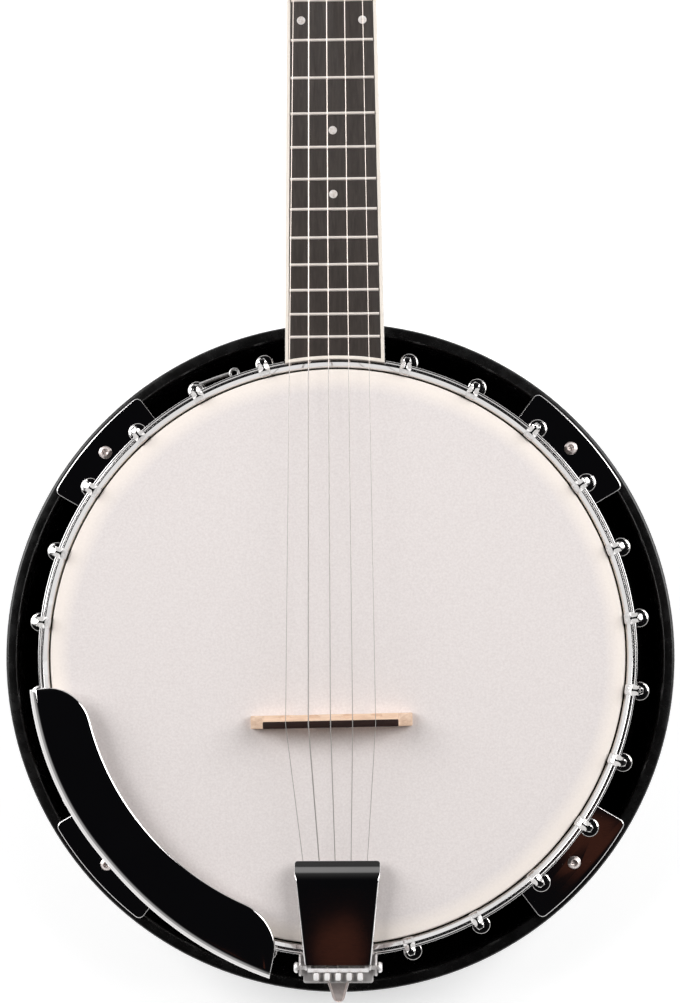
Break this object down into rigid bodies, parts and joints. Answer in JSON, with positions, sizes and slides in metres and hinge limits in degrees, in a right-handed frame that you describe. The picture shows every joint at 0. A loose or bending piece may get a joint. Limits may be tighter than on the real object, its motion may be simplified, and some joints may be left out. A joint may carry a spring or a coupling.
{
  "type": "five-string banjo",
  "caption": "Long-necked plucked instrument with a round drum-like body on a closed bowl back, a fretted neck with a short drone string, geared tuners and a hinged tailpiece cover.",
  "frame": {"origin": "centre of the resonator's flat back, which is the round body's axis on the plane that the instrument lies on", "axes": "+Y along the neck towards the headstock, +Z out of the head on the player's side, +X to the right as the player's side is seen with the neck up"},
  "size_m": [0.3294, 0.963, 0.0996],
  "materials": {
    "black_lacquer": "gloss black lacquer",
    "maple": "satin",
    "cap_wood": "oiled dark wood",
    "fretboard_wood": "oiled dark wood",
    "cream_binding": "gloss",
    "bone": "polished",
    "head_film": "frosted",
    "chrome": "polished",
    "steel": "satin",
    "bell_brass": "cast and turned",
    "button_plastic": "pearl"
  },
  "bodies": {
    "banjo": {"resonator": "black_lacquer", "rim": "maple", "tone_ring": "bell_brass", "head": "head_film", "tension_hoop": "chrome", "flange_plate_1": "chrome", "flange_plate_2": "chrome", "flange_plate_3": "chrome", "flange_plate_4": "chrome", "resonator_lug_1": "steel", "resonator_lug_2": "steel", "resonator_lug_3": "steel", "resonator_lug_4": "steel", "resonator_screw_1": "chrome", "resonator_screw_2": "chrome", "resonator_screw_3": "chrome", "resonator_screw_4": "chrome", "coordinator_rod": "steel", "neck": "black_lacquer", "headstock_overlay": "black_lacquer", "truss_rod_cover": "black_lacquer", "truss_rod": "steel", "fretboard": "fretboard_wood", "binding": "cream_binding", "nut": "bone", "fifth_string_nut": "bone", "tuner_1_housing": "chrome", "tuner_2_housing": "chrome", "tuner_3_housing": "chrome", "tuner_4_housing": "chrome", "fifth_peg_case": "chrome", "bridge_body": "maple", "bridge_cap": "cap_wood", "tailpiece_base": "chrome", "tailpiece_nut": "chrome", "tailpiece_screw_1": "chrome", "tailpiece_screw_2": "chrome", "armrest_plate": "chrome", "armrest_bracket_1": "chrome", "armrest_bracket_2": "chrome", "armrest_clamp_1": "chrome", "armrest_clamp_2": "chrome", "strap_bracket": "chrome", "string_1": "steel", "string_2": "steel", "string_3": "steel", "string_4": "steel", "string_5": "steel"},
    "button_1": {"tuner_1_button": "button_plastic"},
    "button_2": {"tuner_2_button": "button_plastic"},
    "button_3": {"tuner_3_button": "button_plastic"},
    "button_4": {"tuner_4_button": "button_plastic"},
    "button_5": {"fifth_peg_button": "button_plastic"},
    "post_1": {"tuner_1_post": "chrome"},
    "post_2": {"tuner_2_post": "chrome"},
    "post_3": {"tuner_3_post": "chrome"},
    "post_4": {"tuner_4_post": "chrome"},
    "post_5": {"fifth_peg_post": "chrome"},
    "tailpiece_lid": {"tailpiece_cover": "chrome"}
  },
  "joints": [
    {"name": "button_1_turn", "type": "hinge", "parent": "banjo", "child": "button_1", "pos_m": [0.0185, 0.68558, 0.03024], "axis": [1, 0, 0], "continuous": true},
    {"name": "button_2_turn", "type": "hinge", "parent": "banjo", "child": "button_2", "pos_m": [0.0205, 0.73807, 0.01757], "axis": [1, 0, 0], "continuous": true},
    {"name": "button_3_turn", "type": "hinge", "parent": "banjo", "child": "button_3", "pos_m": [-0.0205, 0.73807, 0.01757], "axis": [-1, 0, 0], "continuous": true},
    {"name": "button_4_turn", "type": "hinge", "parent": "banjo", "child": "button_4", "pos_m": [-0.0185, 0.68558, 0.03024], "axis": [-1, 0, 0], "continuous": true},
    {"name": "button_5_turn", "type": "hinge", "parent": "banjo", "child": "button_5", "pos_m": [-0.01631, 0.49356, 0.05969], "axis": [-1, 0, 0], "continuous": true},
    {"name": "post_1_turn", "type": "hinge", "parent": "banjo", "child": "post_1", "pos_m": [0.0185, 0.68186, 0.05104], "axis": [0, 0.2346, 0.9721], "continuous": true},
    {"name": "post_2_turn", "type": "hinge", "parent": "banjo", "child": "post_2", "pos_m": [0.0205, 0.73435, 0.03837], "axis": [0, 0.2346, 0.9721], "continuous": true},
    {"name": "post_3_turn", "type": "hinge", "parent": "banjo", "child": "post_3", "pos_m": [-0.0205, 0.73435, 0.03837], "axis": [0, 0.2346, 0.9721], "continuous": true},
    {"name": "post_4_turn", "type": "hinge", "parent": "banjo", "child": "post_4", "pos_m": [-0.0185, 0.68186, 0.05104], "axis": [0, 0.2346, 0.9721], "continuous": true},
    {"name": "post_5_turn", "type": "hinge", "parent": "banjo", "child": "post_5", "pos_m": [-0.01631, 0.49356, 0.05969], "axis": [-1, 0, 0], "continuous": true},
    {"name": "tailpiece_lid_hinge", "type": "hinge", "parent": "banjo", "child": "tailpiece_lid", "pos_m": [0, -0.1495, 0.089], "axis": [1, 0, 0], "range_deg": [0, 65]}
  ],
  "couplings": [
    {"joint": "post_1_turn", "follows": "button_1_turn", "ratio": 0.071429},
    {"joint": "post_2_turn", "follows": "button_2_turn", "ratio": 0.071429},
    {"joint": "post_3_turn", "follows": "button_3_turn", "ratio": 0.071429},
    {"joint": "post_4_turn", "follows": "button_4_turn", "ratio": 0.071429},
    {"joint": "post_5_turn", "follows": "button_5_turn", "ratio": 0.25}
  ]
}
